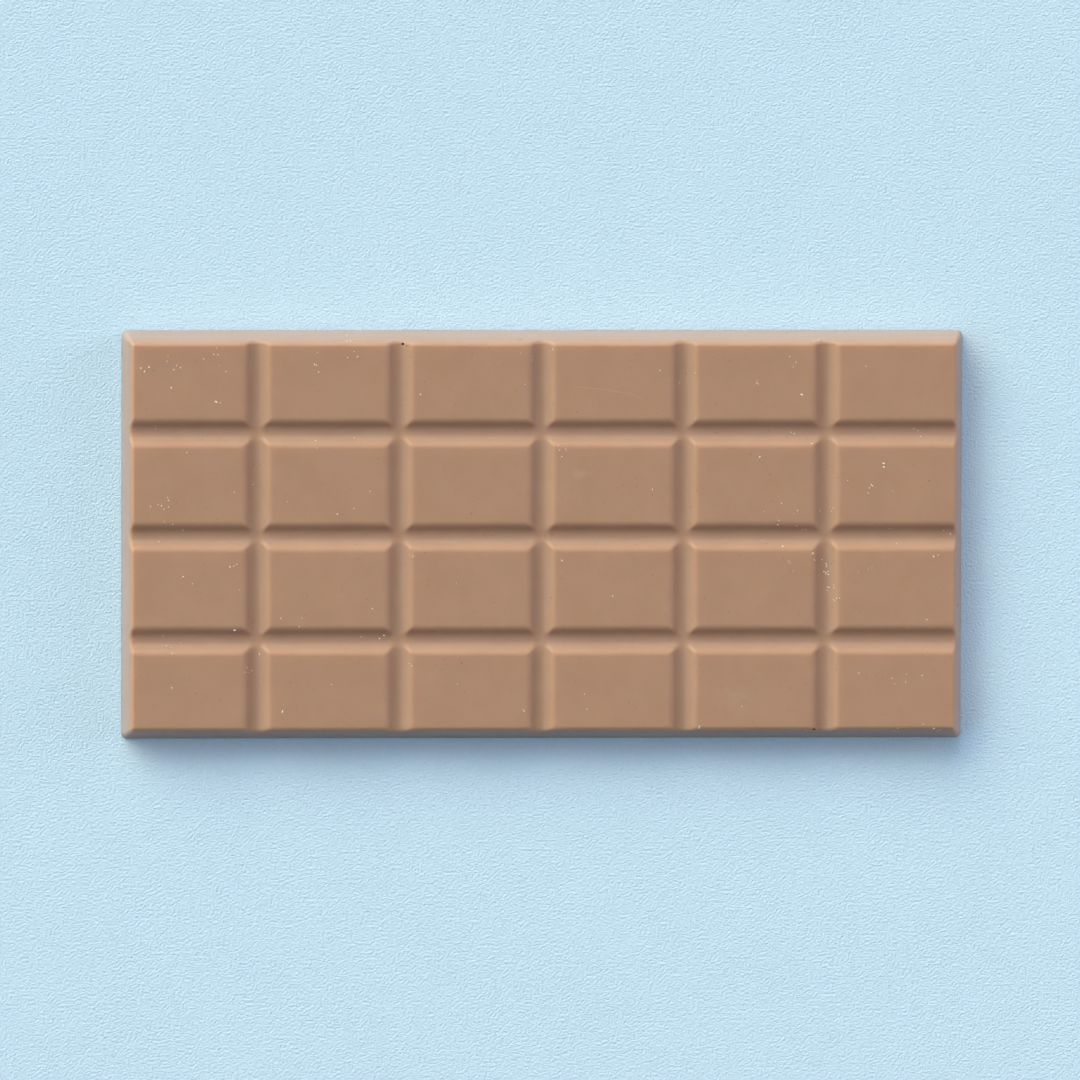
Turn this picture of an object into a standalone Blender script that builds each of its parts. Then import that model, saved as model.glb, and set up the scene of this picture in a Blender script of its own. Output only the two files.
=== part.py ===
"""A bar of milk chocolate, moulded in one piece: six columns and four rows of blocks on one slab.

Metres, +Z up. The bar lies on its flat back. The origin is at the middle of the back, +X runs along
the bar and +Y across it. The slab is modelled first, with its sloping sides and rounded rim, and the
grooves between the blocks are then cut out of it with extruded cutters.
"""

import math

import bmesh
import bpy

# ---- Driving dimensions ----
BAR_LENGTH = 0.1600
BAR_WIDTH = 0.0778
BAR_HEIGHT = 0.0070

COLUMNS = 6
ROWS = 4
COLUMN_PITCH = 0.0270
ROW_PITCH = 0.0197

# The grooves that run across the bar all sit a little nearer to its -X end.
CROSS_GROOVE_SHIFT = -0.0005

# The sides slope inwards so that the bar drops out of its mould, and the two ends are a little steeper.
SIDE_RUN = 0.0022
END_RUN = 0.00185
RIM_RADIUS = 0.0009
BASE_CORNER_RADIUS = 0.0013
TOP_CORNER_RADIUS = 0.0004

# A groove is a rounded valley, with a straight stretch of wall below each soft shoulder.
GROOVE_WIDTH = 0.0062
GROOVE_WALL_ANGLE = math.radians(48)
GROOVE_FLOOR_RADIUS = 0.0021
GROOVE_SHOULDER_RADIUS = 0.0019

# How finely the rounded stretches are faceted.
CORNER_FACETS = 5
RIM_FACETS = 5
SHOULDER_FACETS = 5
CROSS_FLOOR_FACETS = 10
LONG_FLOOR_FACETS = 9

# The cutters stand this far out of the slab, above it and past its ends.
CUTTER_RISE = 0.0004
CUTTER_OVERRUN = 0.0020

CHOCOLATE_COLOUR = (0.392, 0.235, 0.157, 1.0)
CHOCOLATE_ROUGHNESS = 0.42


def clear_objects():
    """Remove whatever the open file holds, such as the default cube."""
    for thing in list(bpy.data.objects):
        bpy.data.objects.remove(thing, do_unlink=True)


def chocolate_material():
    """Milk chocolate with a soft satin surface."""
    material = bpy.data.materials.new("milk_chocolate")
    material.use_nodes = True
    shader = material.node_tree.nodes["Principled BSDF"]
    shader.inputs["Base Color"].default_value = CHOCOLATE_COLOUR
    shader.inputs["Roughness"].default_value = CHOCOLATE_ROUGHNESS
    shader.inputs["Metallic"].default_value = 0.0
    return material


def linked_object(name, shape):
    """Turn a bmesh into a named object in the scene."""
    mesh = bpy.data.meshes.new(name)
    shape.to_mesh(mesh)
    shape.free()
    thing = bpy.data.objects.new(name, mesh)
    bpy.context.scene.collection.objects.link(thing)
    return thing


def rounded_rectangle(length, width, radius):
    """The outline of a rectangle with round corners, anticlockwise, as (x, y) pairs."""
    outline = []
    for corner in range(4):
        start = corner * math.pi / 2
        side_x = 1 if corner in (0, 3) else -1
        side_y = 1 if corner in (0, 1) else -1
        centre_x = side_x * (length / 2 - radius)
        centre_y = side_y * (width / 2 - radius)
        for step in range(CORNER_FACETS + 1):
            angle = start + step / CORNER_FACETS * math.pi / 2
            outline.append((centre_x + radius * math.cos(angle), centre_y + radius * math.sin(angle)))
    return outline


def side_profile():
    """The side of the slab from its base to its top face, as (inset, height) pairs.

    The straight slope meets the top face in an arc that touches both, so the arc turns through the
    slope's own angle.
    """
    slope_angle = math.atan2(BAR_HEIGHT, SIDE_RUN)
    arc_run = RIM_RADIUS * math.tan(slope_angle / 2)
    arc_centre = (SIDE_RUN + arc_run, BAR_HEIGHT - RIM_RADIUS)
    profile = [(0.0, 0.0)]
    for step in range(RIM_FACETS + 1):
        angle = slope_angle * (1 - step / RIM_FACETS)
        inset = arc_centre[0] - RIM_RADIUS * math.sin(angle)
        height = arc_centre[1] + RIM_RADIUS * math.cos(angle)
        profile.append((inset, height))
    return profile


def slab():
    """The bar before its grooves: rings of a rounded rectangle, stacked from the base to the top.

    The ends have the sides' profile, squeezed along X to END_RUN.
    """
    shape = bmesh.new()
    rings = []
    for inset, height in side_profile():
        share = min(inset / SIDE_RUN, 1.0)
        radius = BASE_CORNER_RADIUS + share * (TOP_CORNER_RADIUS - BASE_CORNER_RADIUS)
        end_inset = inset * END_RUN / SIDE_RUN
        outline = rounded_rectangle(BAR_LENGTH - 2 * end_inset, BAR_WIDTH - 2 * inset, radius)
        rings.append([shape.verts.new((x, y, height)) for x, y in outline])
    for lower, upper in zip(rings, rings[1:]):
        for i in range(len(lower)):
            j = (i + 1) % len(lower)
            shape.faces.new((lower[i], lower[j], upper[j], upper[i]))
    shape.faces.new(reversed(rings[0]))
    shape.faces.new(rings[-1])
    return linked_object("chocolate_bar", shape)


def groove_half_profile(floor_facets):
    """Half of a groove from its middle outwards, as (across, up from the top face) pairs.

    An arc turns from level up to the wall's angle, a straight wall follows, and a second arc turns
    back to level at the top face. The floor arc is read at the ends of its facets, so an odd number
    of facets over the whole floor leaves a level one in the middle.
    """
    sine = math.sin(GROOVE_WALL_ANGLE)
    fall = 1 - math.cos(GROOVE_WALL_ANGLE)
    wall_run = GROOVE_WIDTH / 2 - (GROOVE_FLOOR_RADIUS + GROOVE_SHOULDER_RADIUS) * sine
    wall_rise = wall_run * math.tan(GROOVE_WALL_ANGLE)
    depth = (GROOVE_FLOOR_RADIUS + GROOVE_SHOULDER_RADIUS) * fall + wall_rise

    points = []
    for step in range(floor_facets % 2, floor_facets + 1, 2):
        angle = GROOVE_WALL_ANGLE * step / floor_facets
        points.append((GROOVE_FLOOR_RADIUS * math.sin(angle),
                       GROOVE_FLOOR_RADIUS * (1 - math.cos(angle)) - depth))
    for step in range(SHOULDER_FACETS, 0, -1):
        angle = GROOVE_WALL_ANGLE * step / SHOULDER_FACETS
        points.append((GROOVE_WIDTH / 2 - GROOVE_SHOULDER_RADIUS * math.sin(angle),
                       -GROOVE_SHOULDER_RADIUS * (1 - math.cos(angle))))

    # The last facet carries on in a straight line, out of the slab.
    across, up = points[-1]
    slope = -up / (GROOVE_WIDTH / 2 - across)
    points.append((GROOVE_WIDTH / 2 + CUTTER_RISE / slope, CUTTER_RISE))
    return points


def groove_cutter(name, count, pitch, shift, run, floor_facets, across_bar):
    """Closed bars with the grooves' profile, side by side, that stand out of both sides of the slab."""
    half = groove_half_profile(floor_facets)
    left = [(-across, up) for across, up in reversed(half) if across > 0]
    profile = left + half
    shape = bmesh.new()
    for groove in range(count):
        middle = (groove - (count - 1) / 2) * pitch + shift
        ends = []
        for end in (-run / 2, run / 2):
            ring = []
            for across, up in profile:
                place = middle + across
                spot = (place, end) if across_bar else (end, place)
                ring.append(shape.verts.new((*spot, BAR_HEIGHT + up)))
            ends.append(ring)
        near, far = ends
        for i in range(len(profile)):
            j = (i + 1) % len(profile)
            shape.faces.new((near[i], near[j], far[j], far[i]))
        shape.faces.new(near)
        shape.faces.new(far)
    bmesh.ops.recalc_face_normals(shape, faces=shape.faces)
    cutter = linked_object(name, shape)
    cutter.hide_render = True
    cutter.display_type = "WIRE"
    return cutter


def cut(thing, cutter):
    """Take the cutter's shape out of an object."""
    modifier = thing.modifiers.new(cutter.name, "BOOLEAN")
    modifier.operation = "DIFFERENCE"
    modifier.solver = "EXACT"
    modifier.object = cutter


def main():
    clear_objects()
    bar = slab()
    bar.data.materials.append(chocolate_material())
    cross_grooves = groove_cutter(
        "cross_groove_cutter", COLUMNS - 1, COLUMN_PITCH, CROSS_GROOVE_SHIFT,
        BAR_WIDTH + 2 * CUTTER_OVERRUN, CROSS_FLOOR_FACETS, True)
    long_grooves = groove_cutter(
        "long_groove_cutter", ROWS - 1, ROW_PITCH, 0.0,
        BAR_LENGTH + 2 * CUTTER_OVERRUN, LONG_FLOOR_FACETS, False)
    cut(bar, cross_grooves)
    cut(bar, long_grooves)


main()
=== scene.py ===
# %% [markdown]
# # A moulded bar of milk chocolate
# This lesson finishes one bar of milk chocolate: six columns and four rows of blocks on one slab, with
# sides that slope in so that it drops out of its mould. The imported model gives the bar's exact place and
# size, and the surfaces that show are worked out here from a few sizes. The bar lies on its flat back at
# the origin, with +X along it and +Y across it. All lengths are in metres.

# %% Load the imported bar
import math

import bmesh
import bpy
import numpy as np
from mathutils import Matrix, Vector, geometry


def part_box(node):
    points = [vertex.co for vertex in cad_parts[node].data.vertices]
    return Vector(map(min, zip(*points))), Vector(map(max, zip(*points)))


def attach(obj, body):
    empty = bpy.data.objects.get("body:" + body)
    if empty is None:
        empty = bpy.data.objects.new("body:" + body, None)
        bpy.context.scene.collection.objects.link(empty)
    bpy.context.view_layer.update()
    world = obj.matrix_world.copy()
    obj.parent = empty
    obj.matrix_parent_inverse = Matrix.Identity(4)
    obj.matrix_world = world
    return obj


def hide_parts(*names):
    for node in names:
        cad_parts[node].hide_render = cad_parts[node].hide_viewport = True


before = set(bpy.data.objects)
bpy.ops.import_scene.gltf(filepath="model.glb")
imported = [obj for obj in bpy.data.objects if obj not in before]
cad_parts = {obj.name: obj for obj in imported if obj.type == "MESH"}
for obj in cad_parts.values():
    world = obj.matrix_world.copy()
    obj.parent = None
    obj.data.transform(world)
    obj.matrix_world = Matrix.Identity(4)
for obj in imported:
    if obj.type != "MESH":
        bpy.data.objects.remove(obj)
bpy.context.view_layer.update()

CAD_NODE = "chocolate_bar"
BODY = "root"
MM = 0.001

bar_low, bar_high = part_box(CAD_NODE)
BAR_LENGTH = bar_high[0] - bar_low[0]
BAR_WIDTH = bar_high[1] - bar_low[1]
BAR_HEIGHT = bar_high[2]
print("the bar is", round(BAR_LENGTH / MM, 1), "x", round(BAR_WIDTH / MM, 1), "x",
      round(BAR_HEIGHT / MM, 1), "mm")

# %% [markdown]
# ## The mould's sizes
# A bar takes its shape from a plastic mould, so its maker thinks in the mould's sizes: how far the sides
# lean, how round the rim is, and how wide and steep the grooves between the blocks are. The same numbers
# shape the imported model. Everything below is worked out from them.

# %% Sizes of the mould
COLUMNS = 6
ROWS = 4
COLUMN_PITCH = 27.0 * MM
ROW_PITCH = 19.7 * MM
CROSS_GROOVE_SHIFT = -0.5 * MM

SIDE_RUN = 2.2 * MM
END_RUN = 1.85 * MM
END_SQUEEZE = END_RUN / SIDE_RUN
RIM_RADIUS = 0.9 * MM
BASE_CORNER_RADIUS = 1.3 * MM
BASE_EDGE_RADIUS = 0.15 * MM

GROOVE_WIDTH = 6.2 * MM
GROOVE_WALL_ANGLE = math.radians(48)
GROOVE_FLOOR_RADIUS = 2.1 * MM
GROOVE_SHOULDER_RADIUS = 1.9 * MM
MITRE_ROUNDING = 0.45 * MM

SLOPE = math.atan2(BAR_HEIGHT, SIDE_RUN)
RIM_TANGENT = RIM_RADIUS * math.tan(SLOPE / 2)
RIM_INSET = SIDE_RUN + RIM_TANGENT
print("the sides lean", round(90 - math.degrees(SLOPE), 1), "degrees, and the top is flat from",
      round(RIM_INSET / MM, 2), "mm in from the base")

# %% [markdown]
# ## A groove
# The grooves are where the bar snaps. Each is a valley with a round floor, straight walls and soft
# shoulders, because a mould with sharp ribs would trap air and tear the chocolate. It could be cut with a
# cutter, but a formula for its depth at any distance from its middle is exact and lets the grid lie
# wherever it is needed.

# %% Depth across a groove
def groove_depth(across):
    """Depth of a groove below the top face, at a distance across from its middle.

    Three stretches meet without a kink: a floor arc of GROOVE_FLOOR_RADIUS turns from level to the wall's
    angle, a straight wall climbs at that angle, and a shoulder arc of GROOVE_SHOULDER_RADIUS turns back to
    level at half the groove's width.
    """
    sine = math.sin(GROOVE_WALL_ANGLE)
    fall = 1 - math.cos(GROOVE_WALL_ANGLE)
    floor_run = GROOVE_FLOOR_RADIUS * sine
    shoulder_run = GROOVE_SHOULDER_RADIUS * sine
    wall_run = GROOVE_WIDTH / 2 - floor_run - shoulder_run
    shoulder_drop = GROOVE_SHOULDER_RADIUS * fall
    wall_drop = wall_run * math.tan(GROOVE_WALL_ANGLE)
    full_depth = shoulder_drop + wall_drop + GROOVE_FLOOR_RADIUS * fall

    out = np.abs(across)
    floor_root = np.sqrt(np.maximum(GROOVE_FLOOR_RADIUS ** 2 - out ** 2, 0))
    floor = full_depth - (GROOVE_FLOOR_RADIUS - floor_root)
    wall = shoulder_drop + (floor_run + wall_run - out) * math.tan(GROOVE_WALL_ANGLE)
    to_edge = np.maximum(GROOVE_WIDTH / 2 - out, 0)
    shoulder_root = np.sqrt(np.maximum(GROOVE_SHOULDER_RADIUS ** 2 - to_edge ** 2, 0))
    shoulder = GROOVE_SHOULDER_RADIUS - shoulder_root
    return np.where(out < floor_run, floor, np.where(out < floor_run + wall_run, wall, shoulder))


def groove_middles(count, pitch, shift=0.0):
    """Places of the grooves' middles, evenly spaced about a place that is shift from the bar's own middle."""
    return (np.arange(count) - (count - 1) / 2) * pitch + shift


CROSS_GROOVES = groove_middles(COLUMNS - 1, COLUMN_PITCH, CROSS_GROOVE_SHIFT)
LONG_GROOVES = groove_middles(ROWS - 1, ROW_PITCH)
GROOVE_DEPTH = float(groove_depth(np.zeros(1))[0])
print("the grooves are", round(GROOVE_DEPTH / MM, 2), "mm deep")

# %% [markdown]
# ## The top of the bar
# Where two grooves cross, the deeper one wins, which leaves a mitre: a ridge that runs down from each
# block's corner. The maximum of the two depths gives it. A true maximum has a knife edge, and a moulded
# ridge is a little round, so the two depths are blended where they are nearly equal.

# %% Depth at any point
def soft_larger(a, b, rounding):
    """The larger of a and b, rounded off where they differ by less than rounding.

    It adds a quarter of the rounding times the square of how nearly equal they are, from 0 to 1. The rounding
    shrinks with the smaller of the two, so that a flat face, where one is zero, keeps its level.
    """
    reach = np.minimum(rounding, np.minimum(a, b)) + 1e-9
    near = np.maximum(reach - np.abs(a - b), 0) / reach
    return np.maximum(a, b) + near ** 2 * reach / 4


def nearest_middle(place, middles):
    """Signed distance from each place to the nearest of the middles."""
    nearest = np.abs(place[..., None] - middles).argmin(axis=-1)
    return place - middles[nearest]


def top_height(x, y):
    """Height of the grooved top at x, y, as if the top went on past the bar's sides."""
    cross = groove_depth(nearest_middle(x, CROSS_GROOVES))
    long = groove_depth(nearest_middle(y, LONG_GROOVES))
    return BAR_HEIGHT - soft_larger(cross, long, MITRE_ROUNDING)


# %% [markdown]
# ## The sides and the rim
# Each side is a straight slope, and a small arc rounds it into the top. A groove runs out through the side,
# and its end is rounded in the same way, only lower down. So the side is a function of how far in from the
# base edge a point lies and of how high the top is there: the arc slides down the slope with the groove.
# The bar's two ends are a little steeper than its long sides, and have the same shape squeezed along X.

# %% Height at any inset
def side_height(inset, top):
    """Height of the bar at an inset from its base edge, where the grooved top is at the height top.

    Below the rim it is the slope, inset times the slope's steepness. Inside the rim it is top. Between them
    an arc of RIM_RADIUS touches both.
    """
    past = inset - top / math.tan(SLOPE)
    slope = inset * math.tan(SLOPE)
    root = np.sqrt(np.maximum(RIM_RADIUS ** 2 - (past - RIM_TANGENT) ** 2, 0))
    arc = top - RIM_RADIUS + root
    below = past < -RIM_TANGENT * math.cos(SLOPE)
    return np.where(below, slope, np.where(past < RIM_TANGENT, arc, top))


def bar_height(x, y):
    """Height of the bar's surface above any point of its base that isn't in a rounded corner."""
    inset = np.minimum((BAR_LENGTH / 2 - np.abs(x)) / END_SQUEEZE, BAR_WIDTH / 2 - np.abs(y))
    return side_height(inset, top_height(x, y))


# %% [markdown]
# ## Grid lines where the shape bends
# A flat block needs few points and a groove needs many. The grid's lines are therefore close together
# across each groove and along the rim, and wider apart over the blocks. The outermost lines run down the
# sides: they are given as insets from the base edge, from the rim inwards to the foot.

# %% Places of the grid lines
GROOVE_STEP = 0.22 * MM
BLOCK_STEP = 0.80 * MM
RIM_STEPS = 8
SIDE_STEP = 0.20 * MM
FOOT_STEP = 0.70 * MM
FOOT_ARC_STEPS = 4


def lines_across(half, middles):
    """Places of the lines from -half to half, GROOVE_STEP apart in the grooves and BLOCK_STEP elsewhere."""
    groove_lines = int(round(GROOVE_WIDTH / GROOVE_STEP))
    edges = [-half]
    parts = []
    for middle in middles:
        start, end = middle - GROOVE_WIDTH / 2, middle + GROOVE_WIDTH / 2
        block_lines = int(round((start - edges[-1]) / BLOCK_STEP))
        parts.append(np.linspace(edges[-1], start, block_lines, endpoint=False))
        parts.append(np.linspace(start, end, groove_lines, endpoint=False))
        edges.append(end)
    block_lines = int(round((half - edges[-1]) / BLOCK_STEP))
    parts.append(np.linspace(edges[-1], half, block_lines + 1))
    return np.concatenate(parts)


def foot_arc():
    """Insets and heights round the bar's foot, where a small arc turns the slope into the flat back."""
    turn = math.pi - SLOPE
    reach = BASE_EDGE_RADIUS / math.tan(SLOPE / 2)
    angles = math.pi / 2 - SLOPE + turn * np.linspace(0, 1, FOOT_ARC_STEPS + 1)
    return (reach - BASE_EDGE_RADIUS * np.cos(angles),
            BASE_EDGE_RADIUS - BASE_EDGE_RADIUS * np.sin(angles))


def side_rows():
    """Insets of the rows from the rim down to the foot, and each row's height on a side with no groove."""
    rim_angles = SLOPE * np.arange(1, RIM_STEPS + 1) / RIM_STEPS
    rim = RIM_INSET - RIM_RADIUS * np.sin(rim_angles)
    slope_top = rim[-1] * math.tan(SLOPE)
    low = BAR_HEIGHT - GROOVE_DEPTH - 2 * RIM_RADIUS
    foot_insets, foot_heights = foot_arc()
    upper = np.linspace(slope_top, low, int(round((slope_top - low) / SIDE_STEP)) + 1)[1:]
    lower = np.linspace(low, foot_heights[0], int(round(low / FOOT_STEP)) + 1)[1:-1]
    slope_heights = np.concatenate([upper, lower])
    insets = np.concatenate([[RIM_INSET], rim, slope_heights / math.tan(SLOPE), foot_insets])
    heights = np.concatenate([side_height(np.concatenate([[RIM_INSET], rim]), BAR_HEIGHT),
                              slope_heights, foot_heights])
    return insets, heights, len(foot_insets)


ROW_INSETS, ROW_HEIGHTS, FOOT_ROWS = side_rows()
SIDE_COUNT = len(ROW_INSETS) - 1
inner_x = lines_across(BAR_LENGTH / 2 - RIM_INSET * END_SQUEEZE, CROSS_GROOVES)
inner_y = lines_across(BAR_WIDTH / 2 - RIM_INSET, LONG_GROOVES)
print(len(inner_x), "by", len(inner_y), "lines on the top,", SIDE_COUNT, "rows down the sides")

# %% [markdown]
# ## Folding a flat grid round the corners
# A square grid has sharp corners, and the bar's are round. Seen from above, each row down the side is a
# ring, and at a corner the ring is two short straight bits and a quarter circle between them. The points of
# the square's corner are dealt out along that ring by their share of its length, so the grid stays in one
# piece, with no seam and no gap.

# %% Points on the rings
def corner_radii(outward):
    """Corner radius of each ring: none on the flat top, and it grows to BASE_CORNER_RADIUS at the base."""
    grown = BASE_CORNER_RADIUS * (np.maximum(outward, 0) / RIM_INSET) ** 0.8
    return np.minimum(grown, outward)


def corner_points(outward, radius, share):
    """Where a share of the way round a corner lies, as distances past the flat top's corner along X and Y.

    The way has a straight bit of length outward less radius, a quarter circle, and the same straight bit
    again. The second half mirrors the first, so it is worked out with X and Y exchanged.
    """
    straight = outward - radius
    whole = 2 * straight + radius * math.pi / 2
    walked = whole * np.minimum(share, 1 - share)
    angle = np.maximum(walked - straight, 0) / np.maximum(radius, 1e-9)
    far = np.where(walked < straight, outward, straight + radius * np.cos(angle))
    near = np.where(walked < straight, walked, straight + radius * np.sin(angle))
    first_half = share <= 0.5
    return np.where(first_half, far, near), np.where(first_half, near, far)


def grid_places(insets):
    """X, Y and row number of every grid point. Row 0 is the flat top, and the last row is the outermost."""
    last = len(insets) - 1
    outward = RIM_INSET - insets
    steps_x = np.concatenate([np.arange(last, 0, -1), np.zeros(len(inner_x), int), np.arange(1, last + 1)])
    steps_y = np.concatenate([np.arange(last, 0, -1), np.zeros(len(inner_y), int), np.arange(1, last + 1)])
    lines_x = np.concatenate([np.full(last, inner_x[0]), inner_x, np.full(last, inner_x[-1])])
    lines_y = np.concatenate([np.full(last, inner_y[0]), inner_y, np.full(last, inner_y[-1])])
    x, y = np.meshgrid(lines_x, lines_y, indexing="ij")
    step_x, step_y = np.meshgrid(steps_x, steps_y, indexing="ij")
    row = np.maximum(step_x, step_y)
    out = outward[row]

    half_way = np.maximum(row, 1) * 2
    share = np.where(step_x >= step_y, step_y, half_way - step_x) / half_way
    corner_x, corner_y = corner_points(out, corner_radii(out), share)
    in_corner = (step_x > 0) & (step_y > 0)
    add_x = np.where(in_corner, corner_x, np.where(step_x > 0, out, 0))
    add_y = np.where(in_corner, corner_y, np.where(step_y > 0, out, 0))
    return x + np.sign(x) * add_x * END_SQUEEZE, y + np.sign(y) * add_y, row


# %% [markdown]
# ## Small unevenness
# A mould is true to a few hundredths of a millimetre, but chocolate shrinks as it sets. Each block sinks a
# little in its middle, and the surface has long shallow waves. They are a few hundredths of a millimetre
# high, enough to bend a reflection and not enough to see as a dent.

# %% Waves and sunk blocks
def waves(x, y, seed, length, height, count=9):
    """A smooth random surface: sines in random directions, with wavelengths near length, added up."""
    draw = np.random.default_rng(seed)
    total = np.zeros_like(x)
    for _ in range(count):
        heading = draw.uniform(0, 2 * math.pi)
        turns = 2 * math.pi / (length * draw.uniform(0.7, 1.5))
        phase = draw.uniform(0, 2 * math.pi)
        total = total + np.sin((x * math.cos(heading) + y * math.sin(heading)) * turns + phase)
    return total * height / math.sqrt(count)


SINK_DEPTH = 0.03 * MM
WAVE_HEIGHT = 0.012 * MM
WAVE_LENGTH = 14 * MM


def unevenness(x, y, height):
    """How far the moulded face lies below its true shape: a shallow dish in each block, and long waves.

    The dish is the square of a product of two sines that are zero at the grooves and one in a block's middle.
    The waves are lowered by twice their height, so that they stay below the true shape. Both fade down the
    sides with the square of the height.
    """
    sines = np.sin(math.pi * (x - CROSS_GROOVE_SHIFT) / COLUMN_PITCH) * np.sin(math.pi * y / ROW_PITCH)
    sunk = SINK_DEPTH * sines ** 2 + waves(x, y, 3, WAVE_LENGTH, WAVE_HEIGHT) + 2 * WAVE_HEIGHT
    return sunk * np.clip(height / BAR_HEIGHT, 0, 1) ** 2


# %% Points of the moulded face and sides
x, y, row = grid_places(ROW_INSETS)
height = side_height(ROW_INSETS[row], top_height(x, y))
in_foot = row > SIDE_COUNT - FOOT_ROWS
height = np.where(in_foot, ROW_HEIGHTS[row], height)
height = height - unevenness(x, y, height)
top_points = np.stack([x, y, height], axis=-1)
print("the face has", x.size, "points, from", round(float(height.min()) / MM, 3), "to",
      round(float(height.max()) / MM, 3), "mm high")


# %% [markdown]
# ## The poured back
# The back is where the mould was filled and scraped level. It is flat, with faint ripples and a few burst
# bubbles. Its outline is the foot of the sides, which has many fine points, and its middle needs only a
# few. A triangulation that keeps the outline's edges joins the two with no cracks and no thin slivers.

# %% Build the back
BACK_STEP = 2.6 * MM
RIPPLE_HEIGHT = 0.02 * MM
RIPPLE_LENGTH = 11 * MM
BACK_MARGIN = 1.2 * MM
BUBBLE_COUNT = 26
BUBBLE_RINGS = (0.0, 0.35, 0.7, 1.0, 1.25)
BUBBLE_SPOKES = 10


def outline_indices(count_x, count_y):
    """Numbers of the grid's outermost points, anticlockwise seen from above."""
    number = np.arange(count_x * count_y).reshape(count_x, count_y)
    return np.concatenate([number[:-1, 0], number[-1, :-1], number[:0:-1, -1], number[0, :0:-1]])


def back_bubbles():
    """Middles, radii and depths of the burst bubbles, scattered at random but clear of the edges."""
    draw = np.random.default_rng(11)
    reach = np.array([BAR_LENGTH, BAR_WIDTH]) / 2 - 4 * MM
    middles = draw.uniform(-reach, reach, (BUBBLE_COUNT, 2))
    radii = draw.uniform(0.25, 0.8, BUBBLE_COUNT) * MM
    return middles, radii, radii * draw.uniform(0.25, 0.5, BUBBLE_COUNT)


def back_height(x, y):
    """Height of the back above the surface it lies on: ripples that fade out at the foot, and bubbles.

    A bubble is a bowl: its depth times one less the square of the distance from its middle over its radius.
    """
    edge = np.minimum(BAR_LENGTH / 2 - np.abs(x), BAR_WIDTH / 2 - np.abs(y))
    fade = np.clip((edge - BASE_EDGE_RADIUS) / (3 * MM), 0, 1)
    ripples = (waves(x, y, 21, RIPPLE_LENGTH, RIPPLE_HEIGHT) + 2.5 * RIPPLE_HEIGHT) * fade
    middles, radii, depths = back_bubbles()
    away = np.hypot(x[:, None] - middles[:, 0], y[:, None] - middles[:, 1]) / radii
    bowls = (depths * np.maximum(1 - away ** 2, 0)).max(axis=1)
    return ripples + bowls


def back_places():
    """Places of the points inside the back's outline: a jittered grid, and rings round each bubble."""
    draw = np.random.default_rng(5)
    reach_x, reach_y = BAR_LENGTH / 2 - BACK_MARGIN, BAR_WIDTH / 2 - BACK_MARGIN
    along = np.linspace(-reach_x, reach_x, int(2 * reach_x / BACK_STEP))
    across = np.linspace(-reach_y, reach_y, int(2 * reach_y / BACK_STEP))
    places = np.stack(np.meshgrid(along, across, indexing="ij"), axis=-1).reshape(-1, 2)
    places = places + draw.uniform(-0.2, 0.2, places.shape) * BACK_STEP
    places = np.clip(places, [-reach_x, -reach_y], [reach_x, reach_y])
    middles, radii, _ = back_bubbles()
    away = np.linalg.norm(places[:, None] - middles[None], axis=2)
    places = places[(away > radii * 1.6).all(axis=1)]
    turn = np.arange(BUBBLE_SPOKES) / BUBBLE_SPOKES * 2 * math.pi
    circle = np.stack([np.cos(turn), np.sin(turn)], axis=-1)
    rings = [middles]
    for ring in BUBBLE_RINGS[1:]:
        rings.append((middles[:, None] + ring * radii[:, None, None] * circle[None]).reshape(-1, 2))
    return np.concatenate([places] + rings)


outline = outline_indices(*x.shape)
outline_places = top_points.reshape(-1, 3)[outline][:, :2]
inside_places = back_places()
flat_places = np.concatenate([outline_places, inside_places])
outline_edges = [(i, (i + 1) % len(outline)) for i in range(len(outline))]
flat, _, back_faces, sources, _, _ = geometry.delaunay_2d_cdt(
    [Vector(place) for place in flat_places.tolist()], outline_edges, [], 1, 1e-7)
print("the back has", len(inside_places), "points inside its outline and", len(back_faces), "faces")

# %% [markdown]
# ## Joining face and back
# Both surfaces use the same points along the foot, so the bar is one closed skin. The back's faces are
# turned over to look down.

# %% One closed mesh
def grid_faces(count_x, count_y):
    """Four-sided faces between neighbouring grid points, facing up."""
    number = np.arange(count_x * count_y).reshape(count_x, count_y)
    return np.stack([number[:-1, :-1], number[1:, :-1], number[1:, 1:], number[:-1, 1:]],
                    axis=-1).reshape(-1, 4)


def joined_bar():
    """The points and faces of the whole skin."""
    inside = np.column_stack([inside_places, back_height(inside_places[:, 0], inside_places[:, 1])])
    points = np.concatenate([top_points.reshape(-1, 3), inside])
    first_inside = top_points.reshape(-1, 3).shape[0]
    numbers = np.concatenate([outline, first_inside + np.arange(len(inside))])
    original = np.array([source[0] for source in sources])
    faces = grid_faces(*x.shape).tolist()
    for face in back_faces:
        faces.append([int(numbers[original[corner]]) for corner in reversed(face)])
    return points, faces


def object_from(name, points, faces, smooth=True):
    """A mesh object at the origin, from arrays of points and faces."""
    mesh = bpy.data.meshes.new(name)
    mesh.from_pydata(points.tolist(), [], faces)
    mesh.update()
    mesh.polygons.foreach_set("use_smooth", np.full(len(mesh.polygons), smooth))
    thing = bpy.data.objects.new(name, mesh)
    bpy.context.scene.collection.objects.link(thing)
    return thing


bar_points, bar_faces = joined_bar()
bar = object_from("moulded_bar", bar_points, bar_faces)
print("the bar has", len(bar_faces), "faces")

# %% [markdown]
# ## Pinholes
# Air caught against the mould leaves pinholes, most of them on the rim and the sides, where the chocolate
# runs in last. Each is a small round pit. The grid is too coarse to hold them and finer lines would run
# right across the bar, so only the faces round each pit are divided, and their points are pushed in. Little
# light comes back out of a deep pit, so an attribute on the mesh keeps how far each point went in, for the
# material to darken.

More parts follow.
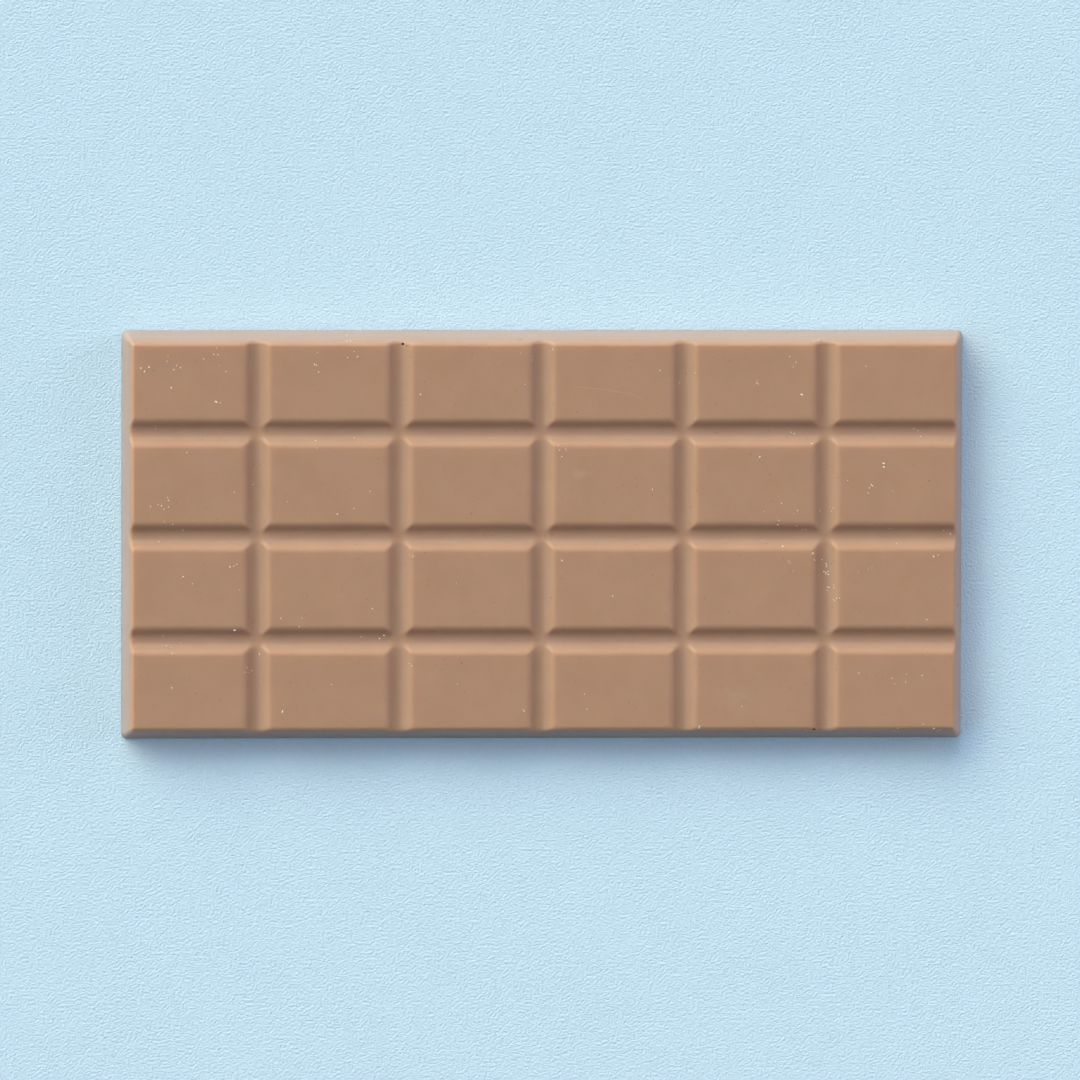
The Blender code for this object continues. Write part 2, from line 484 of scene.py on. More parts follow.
# %% Push in the pinholes
# Each pit's place along X and Y, its radius and its depth, in millimetres.
PINHOLES = [
    (-26.8, 36.5, 0.32, 0.34), (-26.1, 36.1, 0.17, 0.14), (-4.9, 37.3, 0.20, 0.20), (-4.4, 37.35, 0.20, 0.18),
    (78.9, -13.4, 0.38, 0.40), (51.5, -36.9, 0.42, 0.50), (-13.9, 4.3, 0.22, 0.09), (73.2, 10.5, 0.22, 0.09),
    (17.6, 9.4, 0.18, 0.06), (11.4, 6.4, 0.18, 0.06), (6.2, 23.6, 0.20, 0.07), (-15.6, -24.0, 0.22, 0.09),
    (30.6, -11.8, 0.20, 0.07), (-61.0, -37.2, 0.18, 0.12), (79.2, 20.0, 0.18, 0.12),
]
PIT_MARGIN = 0.35 * MM
PIT_CUTS = 5
DARK_DEPTH = 0.15 * MM


def face_height(x, y):
    """Height of the moulded face as it was built, with its unevenness."""
    height = bar_height(x, y)
    return height - unevenness(x, y, height)


def divide_near(mesh, middles, reach):
    """Divide every face that has its middle within reach of one of the middles."""
    centres = np.empty(len(mesh.polygons) * 3)
    mesh.polygons.foreach_get("center", centres)
    away = np.linalg.norm(centres.reshape(-1, 1, 3) - middles, axis=2)
    chosen = np.flatnonzero((away < reach).any(axis=1))
    shape = bmesh.new()
    shape.from_mesh(mesh)
    shape.faces.ensure_lookup_table()
    edges = {edge for number in chosen for edge in shape.faces[number].edges}
    bmesh.ops.subdivide_edges(shape, edges=list(edges), cuts=PIT_CUTS, use_grid_fill=True)
    many_sided = [face for face in shape.faces if len(face.verts) > 4]
    bmesh.ops.triangulate(shape, faces=many_sided)
    shape.to_mesh(mesh)
    shape.free()


def push_in(mesh, middles, radii, depths):
    """Move points in along their own normals, by the depth times the square of one less the squared share.

    The share is the point's distance from the pit's middle over the pit's radius. The attribute sunk keeps
    how far each point went in, up to 1 at DARK_DEPTH.
    """
    places = np.empty(len(mesh.vertices) * 3)
    normals = np.empty(len(mesh.vertices) * 3)
    mesh.vertices.foreach_get("co", places)
    mesh.vertex_normals.foreach_get("vector", normals)
    places, normals = places.reshape(-1, 3), normals.reshape(-1, 3)
    share = np.linalg.norm(places[:, None] - middles, axis=2) / radii
    pushed = (depths * np.maximum(1 - share ** 2, 0) ** 2).max(axis=1)
    mesh.vertices.foreach_set("co", (places - normals * pushed[:, None]).ravel())
    sunk = mesh.attributes.new("sunk", "FLOAT", "POINT")
    sunk.data.foreach_set("value", np.minimum(pushed / DARK_DEPTH, 1))
    mesh.update()
    return int((pushed > 0).sum())


pit_x, pit_y, pit_radii, pit_depths = np.array(PINHOLES).T * MM
pit_middles = np.stack([pit_x, pit_y, face_height(pit_x, pit_y)], axis=-1)
divide_near(bar.data, pit_middles, pit_radii.max() + PIT_MARGIN)
pitted = push_in(bar.data, pit_middles, pit_radii, pit_depths)
bar_triangles = sum(len(face.vertices) - 2 for face in bar.data.polygons)
print(len(PINHOLES), "pinholes, made of", pitted, "points; the bar has", bar_triangles, "triangles")

# %% [markdown]
# ## Specks of chocolate
# Tiny pale specks lie on the bar where it has rubbed against its wrapper and its neighbours: dust and
# crumbs of chocolate, a sixth to half a millimetre long. Most gather in small groups, so each group is
# given by where it lies, how many specks it has, how far they spread and half their length, and the few
# lone ones are scattered evenly. One rough flake is bent into each of them, and all of them are one mesh.

# %% Where the specks lie
# Place along X and Y, number of specks, spread, and half-length, in millimetres, row by row from the left.
SPECK_GROUPS = [
    (-75.5, 32.0, 3, 0.5, 0.21), (-69.5, 32.5, 5, 0.9, 0.14), (-63.5, 34.5, 4, 1.2, 0.14),
    (-60.5, 31.5, 2, 0.5, 0.10), (-70.5, 28.5, 1, 0.1, 0.18), (-62.0, 25.5, 3, 0.3, 0.17),
    (-43.0, 32.5, 3, 0.5, 0.15), (-36.0, 35.0, 3, 1.0, 0.14), (-37.0, 37.5, 3, 0.5, 0.16),
    (-23.5, 27.0, 1, 0.1, 0.19), (-3.0, 35.0, 3, 1.0, 0.12), (22.0, 31.5, 1, 0.1, 0.17),
    (47.5, 33.0, 3, 1.0, 0.13), (41.0, 28.5, 3, 0.4, 0.12), (49.0, 27.0, 2, 0.2, 0.22),
    (52.5, 37.0, 2, 0.3, 0.15), (-74.0, 21.0, 2, 0.5, 0.11), (-72.5, 6.5, 5, 1.4, 0.13),
    (-73.0, 2.0, 4, 2.0, 0.13), (-43.5, 17.5, 2, 1.0, 0.13), (3.5, 16.5, 4, 0.5, 0.12),
    (47.5, 19.5, 2, 0.3, 0.17), (51.0, 17.5, 2, 0.4, 0.15), (41.0, 15.0, 1, 0.1, 0.17),
    (44.5, 3.0, 3, 0.6, 0.14), (48.0, 2.0, 5, 1.1, 0.12), (54.5, 5.0, 2, 0.4, 0.14),
    (70.5, 20.5, 3, 1.2, 0.13), (64.5, 13.5, 2, 0.2, 0.23), (61.5, 9.5, 4, 0.7, 0.15),
    (77.0, 0.5, 2, 0.5, 0.13), (-58.5, -5.0, 3, 0.6, 0.14), (-68.5, -8.0, 2, 0.3, 0.12),
    (-58.5, -18.0, 2, 0.2, 0.19), (-50.0, -15.5, 1, 0.1, 0.19), (-46.0, -16.0, 2, 0.5, 0.14),
    (-30.5, -19.5, 2, 0.3, 0.17), (3.5, -4.5, 1, 0.1, 0.20), (45.5, -2.0, 1, 0.1, 0.17),
    (47.0, -5.0, 2, 0.4, 0.13), (51.5, -3.0, 7, 1.0, 0.13), (54.0, -5.5, 7, 0.6, 0.13),
    (54.0, -7.0, 5, 0.6, 0.14), (54.5, -10.0, 5, 0.6, 0.15), (55.5, -12.0, 4, 0.5, 0.13),
    (62.5, -6.0, 3, 1.0, 0.10), (74.5, -3.5, 3, 0.8, 0.16), (-71.5, -19.5, 5, 1.1, 0.12),
    (-56.0, -25.5, 4, 0.9, 0.14), (-70.5, -28.5, 1, 0.1, 0.15), (-49.5, -33.0, 2, 0.2, 0.17),
    (-25.0, -24.5, 3, 0.4, 0.12), (-4.0, -33.5, 2, 0.4, 0.15), (29.5, -36.5, 2, 0.3, 0.16),
    (50.0, -37.0, 3, 0.5, 0.13), (60.0, -26.0, 1, 0.1, 0.18), (66.5, -27.5, 2, 0.3, 0.14),
    (75.5, -36.5, 3, 0.5, 0.19), (68.0, -37.0, 2, 0.4, 0.12),
]
LONE_SPECKS = 44
LONE_HALF = 0.125
LONE_MARGIN = 3.0
EDGE_MARGIN = 1.0


def scattered(groups):
    """Places and half-lengths of all the specks.

    Each speck of a group is at the group's place, moved at random by its spread. The lone specks are spread
    evenly over the top. None lies nearer to the base edge than EDGE_MARGIN, and all lengths vary by a fifth.
    """
    draw = np.random.default_rng(17)
    along, across, count, spread, half = np.array(groups).T
    owner = np.repeat(np.arange(len(count)), count.astype(int))
    moved = draw.normal(0, 1, (len(owner), 2)) * spread[owner][:, None]
    grouped = np.stack([along, across], axis=-1)[owner] + moved
    reach = np.array([BAR_LENGTH, BAR_WIDTH]) / 2 / MM - LONE_MARGIN
    lone = draw.uniform(-reach, reach, (LONE_SPECKS, 2))
    sizes = np.concatenate([half[owner], np.full(LONE_SPECKS, LONE_HALF)])
    edge = reach + LONE_MARGIN - EDGE_MARGIN
    places = np.clip(np.concatenate([grouped, lone]), -edge, edge)
    return places * MM, sizes * draw.uniform(0.75, 1.15, len(sizes)) * MM


speck_places, speck_sizes = scattered(SPECK_GROUPS)
print(len(speck_sizes), "specks in", len(SPECK_GROUPS), "groups")

# %% Build the specks
SPECK_RINGS = 3
SPECK_SPOKES = 7
SPECK_RISE = 0.35
NORMAL_STEP = 0.05 * MM


def surface_frames(places):
    """Points of the face at the given places, and three axes there: along it, across it and out of it."""
    x, y = places.T
    height = face_height(x, y)
    slope_x = (face_height(x + NORMAL_STEP, y) - face_height(x - NORMAL_STEP, y)) / (2 * NORMAL_STEP)
    slope_y = (face_height(x, y + NORMAL_STEP) - face_height(x, y - NORMAL_STEP)) / (2 * NORMAL_STEP)
    out = np.stack([-slope_x, -slope_y, np.ones_like(x)], axis=-1)
    out = out / np.linalg.norm(out, axis=1, keepdims=True)
    along = np.cross(np.array([0.0, 1.0, 0.0]), out)
    along = along / np.linalg.norm(along, axis=1, keepdims=True)
    return np.stack([x, y, height], axis=-1), np.stack([along, np.cross(out, along), out], axis=1)


def flake():
    """A unit ball of SPECK_RINGS rings of SPECK_SPOKES points and two poles, and its outward faces."""
    rise = np.linspace(-1, 1, SPECK_RINGS + 2)[1:-1, None] * math.pi / 2
    turn = np.arange(SPECK_SPOKES)[None] * 2 * math.pi / SPECK_SPOKES
    ring_points = np.stack([np.cos(rise) * np.cos(turn), np.cos(rise) * np.sin(turn),
                            np.sin(rise) + 0 * turn], axis=-1).reshape(-1, 3)
    points = np.concatenate([ring_points, [[0, 0, -1], [0, 0, 1]]])
    number = np.arange(SPECK_RINGS * SPECK_SPOKES).reshape(SPECK_RINGS, SPECK_SPOKES)
    after = np.roll(number, -1, axis=1)
    low_pole, high_pole = number.size, number.size + 1
    sides = np.stack([number[:-1], after[:-1], after[1:], number[1:]], axis=-1).reshape(-1, 4)
    bottom = np.stack([after[0], number[0], np.full(SPECK_SPOKES, low_pole)], axis=-1)
    top = np.stack([number[-1], after[-1], np.full(SPECK_SPOKES, high_pole)], axis=-1)
    return points, sides, np.concatenate([bottom, top])


def speck_mesh(places, sizes):
    """Points and faces of all the specks.

    Each is the unit flake with its points pushed in or out at random, squashed to its own width and height,
    turned about the surface's direction, and set on the surface with its lower third sunk in.
    """
    draw = np.random.default_rng(29)
    unit, sides, ends = flake()
    count = len(sizes)
    lumps = unit[None] * draw.uniform(0.65, 1.2, (count, len(unit), 1))
    width = draw.uniform(0.55, 0.9, count)
    height = draw.uniform(0.35, 0.6, count)
    local = lumps * np.stack([np.ones(count), width, height], axis=-1)[:, None] * sizes[:, None, None]
    turn = draw.uniform(0, 2 * math.pi, count)[:, None]
    turned = np.stack([local[..., 0] * np.cos(turn) - local[..., 1] * np.sin(turn),
                       local[..., 0] * np.sin(turn) + local[..., 1] * np.cos(turn),
                       local[..., 2] + (height * sizes * SPECK_RISE)[:, None]], axis=-1)
    spots, axes = surface_frames(places)
    points = spots[:, None] + np.einsum("npk,nkj->npj", turned, axes)
    first = (np.arange(count) * len(unit))[:, None, None]
    faces = (sides[None] + first).reshape(-1, 4).tolist() + (ends[None] + first).reshape(-1, 3).tolist()
    return points.reshape(-1, 3), faces


specks = object_from("chocolate_specks", *speck_mesh(speck_places, speck_sizes))
print("the specks have", len(specks.data.polygons), "faces")

# %% [markdown]
# ## Patterns shared by the materials
# Two patterns are used by more than one material, so each is a node group: a fine grain, with its relief
# and its rare dark grains, and a soft mottling. They read a place in the object's own coordinates, in
# metres, and the size of their features, so the same group serves for chocolate, for crumbs and for paper.

# %% Node groups
def add_node(tree, kind, values=None, **settings):
    """A node of this kind in the tree, with some of its inputs' values given by name or number."""
    made = tree.nodes.new(kind)
    for name, value in settings.items():
        setattr(made, name, value)
    for name, value in (values or {}).items():
        made.inputs[name].default_value = value
    return made


def new_group(name, outputs):
    """A shader node group with the inputs Vector and Size and the given number outputs."""
    group = bpy.data.node_groups.new(name, "ShaderNodeTree")
    group.interface.new_socket("Vector", in_out="INPUT", socket_type="NodeSocketVector")
    group.interface.new_socket("Size", in_out="INPUT", socket_type="NodeSocketFloat")
    for output in outputs:
        group.interface.new_socket(output, in_out="OUTPUT", socket_type="NodeSocketFloat")
    return group, add_node(group, "NodeGroupInput"), add_node(group, "NodeGroupOutput")


def scaled_place(group, entry):
    """The group's Vector divided by its Size, so that a pattern's features come out Size apart."""
    whole = add_node(group, "ShaderNodeMath", {0: 1.0}, operation="DIVIDE")
    group.links.new(entry.outputs["Size"], whole.inputs[1])
    place = add_node(group, "ShaderNodeVectorMath", operation="SCALE")
    group.links.new(entry.outputs["Vector"], place.inputs[0])
    group.links.new(whole.outputs[0], place.inputs["Scale"])
    return place.outputs[0]


def grain_group():
    """The group cocoa_grain: Height is a fine relief from 0 to 1, and Flecks is 1 at rare single grains."""
    group, entry, leave = new_group("cocoa_grain", ["Height", "Flecks"])
    place = scaled_place(group, entry)
    relief = add_node(group, "ShaderNodeTexNoise", {"Scale": 1.0, "Detail": 3.0, "Roughness": 0.6})
    grains = add_node(group, "ShaderNodeTexNoise", {"Scale": 0.55, "Detail": 1.0, "Roughness": 0.4})
    rare = add_node(group, "ShaderNodeMapRange", {"From Min": 0.70, "From Max": 0.80},
                    interpolation_type="SMOOTHSTEP")
    group.links.new(place, relief.inputs["Vector"])
    group.links.new(place, grains.inputs["Vector"])
    group.links.new(grains.outputs["Fac"], rare.inputs["Value"])
    group.links.new(relief.outputs["Fac"], leave.inputs["Height"])
    group.links.new(rare.outputs["Result"], leave.inputs["Flecks"])
    return group


def mottling_group():
    """The group soft_mottling: Value drifts between 0 and 1 over a few times Size."""
    group, entry, leave = new_group("soft_mottling", ["Value"])
    place = scaled_place(group, entry)
    drift = add_node(group, "ShaderNodeTexNoise", {"Scale": 1.0, "Detail": 4.0, "Roughness": 0.55})
    spread = add_node(group, "ShaderNodeMapRange", {"From Min": 0.30, "From Max": 0.70})
    group.links.new(place, drift.inputs["Vector"])
    group.links.new(drift.outputs["Fac"], spread.inputs["Value"])
    group.links.new(spread.outputs["Result"], leave.inputs["Value"])
    return group


GRAIN = grain_group()
MOTTLING = mottling_group()
print("node groups:", GRAIN.name, MOTTLING.name)


# %% Parts of a material
def new_material(name):
    """An empty material with a Principled shader, its object coordinates, and its node tree."""
    material = bpy.data.materials.new(name)
    material.use_nodes = True
    tree = material.node_tree
    place = add_node(tree, "ShaderNodeTexCoord").outputs["Object"]
    return material, tree, tree.nodes["Principled BSDF"], place


def use_group(tree, group, place, size):
    """A node that uses the group at a place, with features of this size."""
    used = add_node(tree, "ShaderNodeGroup", node_tree=group)
    used.inputs["Size"].default_value = size
    tree.links.new(place, used.inputs["Vector"])
    return used


def blend_colours(tree, share, first, second):
    """A mix of two colours, or of a linked colour and a colour, by a linked share."""
    mixed = add_node(tree, "ShaderNodeMix", data_type="RGBA")
    tree.links.new(share, mixed.inputs[0])
    if hasattr(first, "is_linked"):
        tree.links.new(first, mixed.inputs[6])
    else:
        mixed.inputs[6].default_value = first
    mixed.inputs[7].default_value = second
    return mixed.outputs[2]


def change_range(tree, value, low, high, to_low, to_high, smooth=False):
    """A linked value moved from one range to another, and held at its ends."""
    changed = add_node(tree, "ShaderNodeMapRange", {"From Min": low, "From Max": high, "To Min": to_low,
                                                     "To Max": to_high})
    changed.interpolation_type = "SMOOTHSTEP" if smooth else "LINEAR"
    tree.links.new(value, changed.inputs["Value"])
    return changed.outputs["Result"]


def combine(tree, operation, first, second):
    """Two linked values, or a linked value and a number, put through one operation."""
    node = add_node(tree, "ShaderNodeMath", operation=operation)
    tree.links.new(first, node.inputs[0])
    if hasattr(second, "is_linked"):
        tree.links.new(second, node.inputs[1])
    else:
        node.inputs[1].default_value = second
    return node.outputs[0]


def patch_mask(tree, place, middle, half_sizes, ragged):
    """A mask that is 1 in the middle of a ragged oval on the bar and fades to 0 at its edge."""
    moved = add_node(tree, "ShaderNodeVectorMath", {1: middle}, operation="SUBTRACT")
    shrunk = add_node(tree, "ShaderNodeVectorMath", {1: half_sizes}, operation="DIVIDE")
    length = add_node(tree, "ShaderNodeVectorMath", operation="LENGTH")
    tree.links.new(place, moved.inputs[0])
    tree.links.new(moved.outputs[0], shrunk.inputs[0])
    tree.links.new(shrunk.outputs[0], length.inputs[0])
    away = combine(tree, "ADD", length.outputs["Value"], ragged)
    return change_range(tree, away, 0.5, 1.5, 1, 0, smooth=True)


def add_bump(tree, height, distance, strength, before=None):
    """A bump of this height in metres, laid over the one before it."""
    bump = add_node(tree, "ShaderNodeBump", {"Strength": strength, "Distance": distance})
    tree.links.new(height, bump.inputs["Height"])
    if before is not None:
        tree.links.new(before, bump.inputs["Normal"])
    return bump.outputs["Normal"]


# %% [markdown]
# ## Milk chocolate
# Milk chocolate is a pale warm brown, and light goes a millimetre or so into it before it comes out, which
# softens every edge. Its skin is cocoa butter that set against a smooth mould, so it has a thin satin
# gloss. A shader with subsurface light for the mass and a coat for the skin is the plainest way to both.
# The coat is weak and its index is high, because such a gloss changes less with the angle than a strong
# coat of a low index, which would turn the whole top white where it mirrors the window. Over that go a soft
# mottling, fine grain, two grey smudges, a hairline scratch and painted shade in the pinholes. The sides
# rub against the mould as the bar drops out, so they are greyer and duller than the top, with level
# streaks, and their grey is also a painted reflection of the pale floor, which they mirror at a low angle.

# %% Milk chocolate material
SMUDGE_MIDDLES = ((6.8 * MM, 11.9 * MM, BAR_HEIGHT), (36.2 * MM, -30.4 * MM, BAR_HEIGHT))
SMUDGE_HALVES = ((4.2 * MM, 1.6 * MM, 4.0 * MM), (4.4 * MM, 3.6 * MM, 4.0 * MM))
SCRATCH_START = (4.5 * MM, 28.4 * MM)
SCRATCH_LENGTH = 15.0 * MM
SCRATCH_DROOP = 10.2
SCRATCH_HALF_WIDTH = 0.15 * MM
DEEP_BROWN = (0.391, 0.214, 0.140, 1)
PALE_BROWN = (0.413, 0.229, 0.151, 1)
FLECK_COLOUR = (0.28, 0.15, 0.09, 1)
SMUDGE_COLOUR = (0.45, 0.30, 0.21, 1)
SCRATCH_COLOUR = (0.50, 0.34, 0.24, 1)
# The grey of the sides is partly mould rub and partly a painted reflection of the pale blue floor in them.
SIDE_RUB_AND_REFLECTION_COLOUR = (0.372, 0.280, 0.268, 1)
# The dark of the pinholes is painted shade: little light comes back out of a deep pit.
PINHOLE_SHADE_COLOUR = (0.035, 0.018, 0.012, 1)
STREAK_STRETCH = (45, 45, 3200)


def scratch_mask(tree, along, across):
    """A mask along a thin curved line that starts level and droops with the square of its length."""
    run = combine(tree, "SUBTRACT", along, SCRATCH_START[0])
    droop = combine(tree, "MULTIPLY", combine(tree, "MULTIPLY", run, run), SCRATCH_DROOP)
    off = combine(tree, "ADD", combine(tree, "SUBTRACT", across, SCRATCH_START[1]), droop)
    line = change_range(tree, combine(tree, "ABSOLUTE", off, 0.0), 0, SCRATCH_HALF_WIDTH, 1, 0, smooth=True)
    begun = change_range(tree, run, 0, SCRATCH_LENGTH * 0.1, 0, 1, smooth=True)
    ended = change_range(tree, run, SCRATCH_LENGTH * 0.9, SCRATCH_LENGTH, 1, 0, smooth=True)
    return combine(tree, "MULTIPLY", line, combine(tree, "MULTIPLY", begun, ended))


def side_mask(tree, along, across):
    """A mask that is 1 on the bar's sloping sides and 0 on its top.

    It falls from 1 to 0 as the distance in from the base edge grows past the run of the sides. The ends are
    measured with their squeeze undone.
    """
    from_end = combine(tree, "MULTIPLY", combine(tree, "ABSOLUTE", along, 0.0), -1 / END_SQUEEZE)
    from_end = combine(tree, "ADD", from_end, BAR_LENGTH / 2 / END_SQUEEZE)
    from_side = combine(tree, "MULTIPLY", combine(tree, "ABSOLUTE", across, 0.0), -1.0)
    from_side = combine(tree, "ADD", from_side, BAR_WIDTH / 2)
    inset = combine(tree, "MINIMUM", from_end, from_side)
    return change_range(tree, inset, SIDE_RUN * 0.3, SIDE_RUN * 1.15, 1, 0)


def side_streaks(tree, place, sides):
    """Level streaks: noise stretched along the sides, and none on the top."""
    stretched = add_node(tree, "ShaderNodeMapping", {"Scale": STREAK_STRETCH})
    streaks = add_node(tree, "ShaderNodeTexNoise", {"Scale": 1.0, "Detail": 2.0})
    tree.links.new(place, stretched.inputs["Vector"])
    tree.links.new(stretched.outputs[0], streaks.inputs["Vector"])
    return combine(tree, "MULTIPLY", streaks.outputs["Fac"], sides)


def chocolate_material():
    """The material milk_chocolate_satin."""
    material, tree, shader, place = new_material("milk_chocolate_satin")
    parts = add_node(tree, "ShaderNodeSeparateXYZ")
    tree.links.new(place, parts.inputs[0])
    grain = use_group(tree, GRAIN, place, 0.35 * MM)
    mottling = use_group(tree, MOTTLING, place, 6.0 * MM).outputs["Value"]
    blotches = use_group(tree, MOTTLING, place, 1.6 * MM).outputs["Value"]
    smudges = [patch_mask(tree, place, middle, halves, blotches)
               for middle, halves in zip(SMUDGE_MIDDLES, SMUDGE_HALVES)]
    smudge = combine(tree, "MAXIMUM", *smudges)
    scratch = scratch_mask(tree, parts.outputs["X"], parts.outputs["Y"])
    sides = side_mask(tree, parts.outputs["X"], parts.outputs["Y"])
    streaks = side_streaks(tree, place, sides)

    colour = blend_colours(tree, mottling, DEEP_BROWN, PALE_BROWN)
    # Painted reflection: the sides turn greyer along their streaks, partly for mould rub, partly for the pale
    # floor they mirror.
    rub_and_reflection = change_range(tree, streaks, 0, 0.5, 0, 0.9)
    colour = blend_colours(tree, rub_and_reflection, colour, SIDE_RUB_AND_REFLECTION_COLOUR)
    flecks = combine(tree, "MULTIPLY", grain.outputs["Flecks"], 0.60)
    colour = blend_colours(tree, flecks, colour, FLECK_COLOUR)
    colour = blend_colours(tree, combine(tree, "MULTIPLY", smudge, 0.35), colour, SMUDGE_COLOUR)
    colour = blend_colours(tree, combine(tree, "MULTIPLY", scratch, 0.40), colour, SCRATCH_COLOUR)
    # Painted shade: each pit darkens with how far its points were pushed in.
    sunk = add_node(tree, "ShaderNodeAttribute", attribute_name="sunk")
    colour = blend_colours(tree, sunk.outputs["Fac"], colour, PINHOLE_SHADE_COLOUR)
    tree.links.new(colour, shader.inputs["Base Color"])

    dull = combine(tree, "ADD", change_range(tree, blotches, 0, 1, 0.46, 0.54),
                   combine(tree, "MULTIPLY", smudge, 0.15))
    tree.links.new(dull, shader.inputs["Roughness"])
    normal = add_bump(tree, grain.outputs["Height"], 0.022 * MM, 0.8)
    normal = add_bump(tree, streaks, 0.020 * MM, 0.6, normal)
    tree.links.new(normal, shader.inputs["Normal"])

    shader.inputs["IOR"].default_value = 1.5
    shader.inputs["Subsurface Weight"].default_value = 1.0
    shader.inputs["Subsurface Radius"].default_value = (3.2, 2.0, 1.2)
    shader.inputs["Subsurface Scale"].default_value = 1 * MM
    shader.inputs["Specular IOR Level"].default_value = 0.05
    shader.inputs["Coat Weight"].default_value = 0.08
    shader.inputs["Coat Roughness"].default_value = 0.38
    shader.inputs["Coat IOR"].default_value = 2.5
    return material


bar.data.materials.append(chocolate_material())
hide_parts(CAD_NODE)
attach(bar, BODY)

# %% [markdown]
# ## Chocolate dust
# Dust and crumbs look far paler than the bar, because light is scattered by their many small faces. Their
# material is a cream that varies from speck to speck, with no gloss.

# %% Speck material
DEEP_DUST = (0.74, 0.58, 0.45, 1)
PALE_DUST = (0.98, 0.88, 0.78, 1)


def speck_material():
    """The material chocolate_dust."""
    material, tree, shader, place = new_material("chocolate_dust")
    grain = use_group(tree, GRAIN, place, 0.12 * MM)
    mottling = use_group(tree, MOTTLING, place, 0.9 * MM).outputs["Value"]
    colour = blend_colours(tree, mottling, DEEP_DUST, PALE_DUST)
    tree.links.new(colour, shader.inputs["Base Color"])
    tree.links.new(change_range(tree, mottling, 0, 1, 0.55, 0.75), shader.inputs["Roughness"])
    tree.links.new(add_bump(tree, grain.outputs["Height"], 0.02 * MM, 0.5), shader.inputs["Normal"])
    return material


specks.data.materials.append(speck_material())
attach(specks, BODY)

# %% [markdown]
# ## The floor
# The bar is shown on a plain sheet of pale blue paper. The sheet is big enough to fill the view from any
# side. Paper has a fine tooth and is never quite even in colour, which the same two groups give at larger
# sizes.

# %% Pale blue paper
FLOOR_SIZE = 20
FLOOR_GAP = 0.02 * MM
DEEP_BLUE = (0.523, 0.621, 0.740, 1)
PALE_BLUE = (0.537, 0.634, 0.753, 1)
TOOTH_BLUE = (0.430, 0.535, 0.650, 1)


def paper_material():
    """The material pale_blue_paper."""
    material, tree, shader, place = new_material("pale_blue_paper")
    tooth = use_group(tree, GRAIN, place, 0.45 * MM)
    mottling = use_group(tree, MOTTLING, place, 18 * MM).outputs["Value"]
    colour = blend_colours(tree, mottling, DEEP_BLUE, PALE_BLUE)
    shade = change_range(tree, tooth.outputs["Height"], 0.3, 0.7, 0.0, 1.0)
    colour = blend_colours(tree, combine(tree, "MULTIPLY", shade, 0.30), colour, TOOTH_BLUE)
    tree.links.new(colour, shader.inputs["Base Color"])
    tree.links.new(change_range(tree, mottling, 0, 1, 0.88, 0.95), shader.inputs["Roughness"])
    tree.links.new(add_bump(tree, tooth.outputs["Height"], 0.40 * MM, 0.9), shader.inputs["Normal"])
    shader.inputs["Specular IOR Level"].default_value = 0.1
    return material


def flat_sheet(name, size, height):
    """A level square sheet round the origin."""
    half = size / 2
    signs = np.array([(-1, -1), (1, -1), (1, 1), (-1, 1)])
    corners = np.column_stack([signs * half, np.full(len(signs), height)])
    return object_from(name, corners, [(0, 1, 2, 3)], smooth=False)


floor = flat_sheet("pale_floor", FLOOR_SIZE, -FLOOR_GAP)
floor.data.materials.append(paper_material())
print("the floor is", FLOOR_SIZE, "m wide")

# %% [markdown]
# ## Camera
# The bar is seen from far above, almost straight down, through a long lens, so that its sides hardly
# spread. The camera stands a little towards -X and +Y, which shows a bit more of those two sides.

# %% Place the camera
VIEW_WIDTH = 205.2 * MM
CAMERA_DISTANCE = 3.0
LEAN_X = math.radians(3.3)
LEAN_Y = math.radians(4.0)
ROLL = math.radians(0.165)
AIM = (-0.345 * MM, -1.138 * MM, 0)


def place_camera():
    """A camera CAMERA_DISTANCE from AIM, leaning off the vertical, that takes in VIEW_WIDTH there."""
    data = bpy.data.cameras.new("camera")
    made = bpy.data.objects.new("camera", data)
    bpy.context.scene.collection.objects.link(made)
    back = Vector((-math.tan(LEAN_X), math.tan(LEAN_Y), 1)).normalized()
    side = Vector((0, 1, 0)).cross(back).normalized()
    turned = Matrix((side, back.cross(side), back)).transposed().to_4x4()
    made.matrix_world = (Matrix.Translation(Vector(AIM) + back * CAMERA_DISTANCE) @ turned
                         @ Matrix.Rotation(ROLL, 4, "Z"))
    data.sensor_width = 36
    data.lens = data.sensor_width * CAMERA_DISTANCE / VIEW_WIDTH
    data.clip_start = 0.1
    data.clip_end = 20
    bpy.context.scene.camera = made
    return made


camera = place_camera()
print("the lens is", round(camera.data.lens), "mm and the camera is", CAMERA_DISTANCE, "m away")

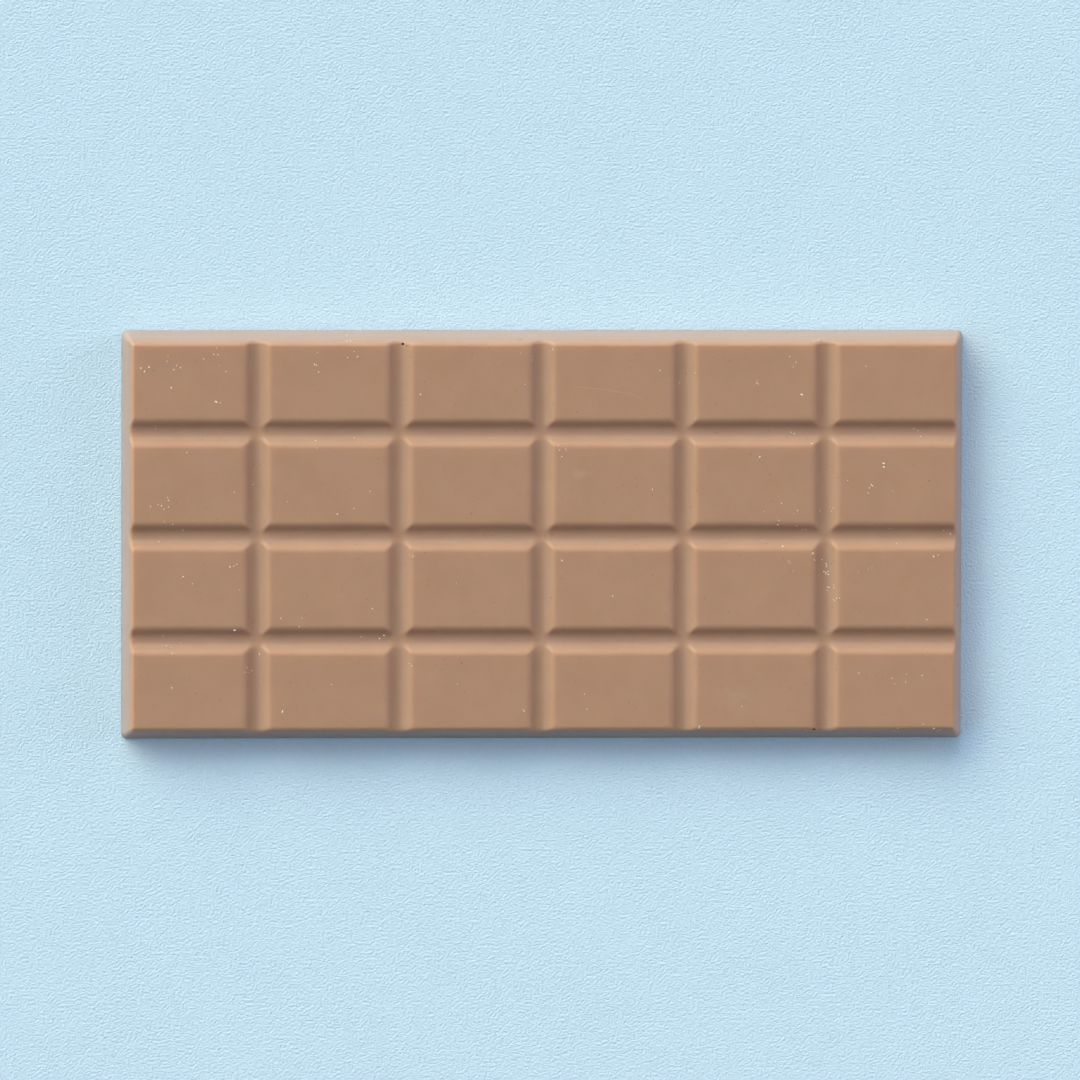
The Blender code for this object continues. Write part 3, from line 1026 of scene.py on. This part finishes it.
# %% [markdown]
# ## Light
# The light is that of a wide window rather low behind the bar on its left, which leaves the near sides and
# the walls that face away from it in soft shadow. Pale cards fill that shadow from the other sides, and a
# dim blue sky colours it. Every lamp is a sun lamp: its light is as strong all over the floor, which a lamp
# close by can't give, and its wide disc makes soft shadows.

# %% Place the lights
FILL_COLOUR = (0.004, 0.020, 0.100, 1)
WINDOW_COLOUR = (0.955, 1.0, 0.745)


def soft_lamp(name, azimuth, elevation, spread, strength, colour):
    """A far round lamp. Its azimuth turns from +X towards +Y, and all three angles are in degrees."""
    data = bpy.data.lights.new(name, "SUN")
    data.angle = math.radians(spread)
    data.energy = strength
    data.color = colour
    lamp = bpy.data.objects.new(name, data)
    bpy.context.scene.collection.objects.link(lamp)
    turn, rise = math.radians(azimuth), math.radians(elevation)
    towards = Vector((math.cos(turn) * math.cos(rise), math.sin(turn) * math.cos(rise), math.sin(rise)))
    lamp.location = towards
    lamp.rotation_mode = "QUATERNION"
    lamp.rotation_quaternion = towards.to_track_quat("Z", "Y")
    return lamp


def sky(colour):
    """An even dim light from all round."""
    world = bpy.data.worlds.new("studio")
    bpy.context.scene.world = world
    world.use_nodes = True
    world.node_tree.nodes["Background"].inputs["Color"].default_value = colour
    world.node_tree.nodes["Background"].inputs["Strength"].default_value = 1.0


sky(FILL_COLOUR)
soft_lamp("window_back_pane", 109, 29.5, 38, 1.62, WINDOW_COLOUR)
soft_lamp("window_middle_pane", 129, 29.5, 38, 1.42, WINDOW_COLOUR)
soft_lamp("window_left_pane", 149, 29.5, 38, 1.49, WINDOW_COLOUR)
soft_lamp("right_card", 12, 17, 30, 1.00, (0.95, 1.0, 0.96))
soft_lamp("right_high_card", 10, 45, 36, 0.33, (1.0, 0.93, 0.95))
soft_lamp("left_card", 190, 42, 36, 0.87, (0.46, 0.76, 1.0))
soft_lamp("back_card", 88, 45, 36, 1.09, (0.45, 0.68, 1.0))
soft_lamp("front_card", 275, 65, 36, 0.43, (0.98, 1.0, 0.62))
bpy.context.scene.view_settings.view_transform = "Standard"
